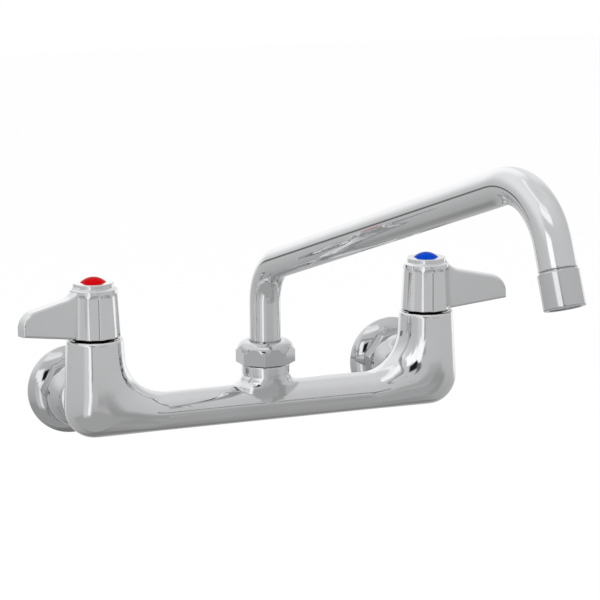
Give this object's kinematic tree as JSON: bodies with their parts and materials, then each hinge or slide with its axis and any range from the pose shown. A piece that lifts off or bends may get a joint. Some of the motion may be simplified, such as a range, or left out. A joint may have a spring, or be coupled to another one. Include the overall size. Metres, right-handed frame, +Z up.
{
  "type": "commercial wall faucet",
  "caption": "Wall-mounted mixing faucet: cast crossbar body with a lever valve at each end, wall unions behind, and a long swing spout with an aerator.",
  "frame": {"origin": "on the wall plane, midway between the two inlets, at the height of their axes", "axes": "+X to the user's right, +Y into the wall, +Z up; the spout reaches towards -Y"},
  "size_m": [0.2956, 0.3571, 0.1864],
  "materials": {
    "body_chrome": "polished plate on a cast brass body",
    "trim_chrome": "polished plate on turned brass",
    "spout_chrome": "polished plate on drawn brass tube",
    "handle_chrome": "polished plate on cast metal",
    "raw_brass": "turned, uncoated",
    "ceramic": "lapped ceramic",
    "seal_rubber": "smooth",
    "steel_screw": "stainless",
    "bearing_plastic": "smooth",
    "aerator_plastic": "smooth",
    "hot_button": "glossy",
    "cold_button": "glossy"
  },
  "bodies": {
    "base": {"valve_body": "body_chrome", "spout_nut": "trim_chrome", "spout_bearing": "bearing_plastic", "hot_inlet_flange": "trim_chrome", "hot_coupling_nut": "trim_chrome", "hot_union_washer": "seal_rubber", "hot_union_tailpiece": "raw_brass", "hot_seat_seal": "seal_rubber", "hot_cartridge_housing": "raw_brass", "hot_fixed_disc": "ceramic", "hot_housing_oring": "seal_rubber", "hot_bonnet_nut": "raw_brass", "cold_inlet_flange": "trim_chrome", "cold_coupling_nut": "trim_chrome", "cold_union_washer": "seal_rubber", "cold_union_tailpiece": "raw_brass", "cold_seat_seal": "seal_rubber", "cold_cartridge_housing": "raw_brass", "cold_fixed_disc": "ceramic", "cold_housing_oring": "seal_rubber", "cold_bonnet_nut": "raw_brass"},
    "hot_handle": {"hot_handle": "handle_chrome", "hot_cartridge_stem": "raw_brass", "hot_moving_disc": "ceramic", "hot_stem_oring": "seal_rubber", "hot_handle_screw": "steel_screw", "hot_index_button": "hot_button"},
    "cold_handle": {"cold_handle": "handle_chrome", "cold_cartridge_stem": "raw_brass", "cold_moving_disc": "ceramic", "cold_stem_oring": "seal_rubber", "cold_handle_screw": "steel_screw", "cold_index_button": "cold_button"},
    "spout": {"spout_tube": "spout_chrome", "spout_hub": "raw_brass", "spout_orings": "seal_rubber", "outlet_collar": "trim_chrome", "outlet_gasket": "seal_rubber", "aerator_insert": "aerator_plastic", "aerator_screen": "steel_screw"}
  },
  "joints": [
    {"name": "hot_handle_turn", "type": "hinge", "parent": "base", "child": "hot_handle", "pos_m": [-0.1016, -0.0551, 0.0423], "axis": [0, 0, 1], "range_deg": [0, 90]},
    {"name": "cold_handle_turn", "type": "hinge", "parent": "base", "child": "cold_handle", "pos_m": [0.1016, -0.0551, 0.0423], "axis": [0, 0, 1], "range_deg": [-90, 0]},
    {"name": "spout_swing", "type": "hinge", "parent": "base", "child": "spout", "pos_m": [0, -0.0551, 0.02], "axis": [0, 0, 1], "range_deg": [-97.1, 82.9]}
  ]
}
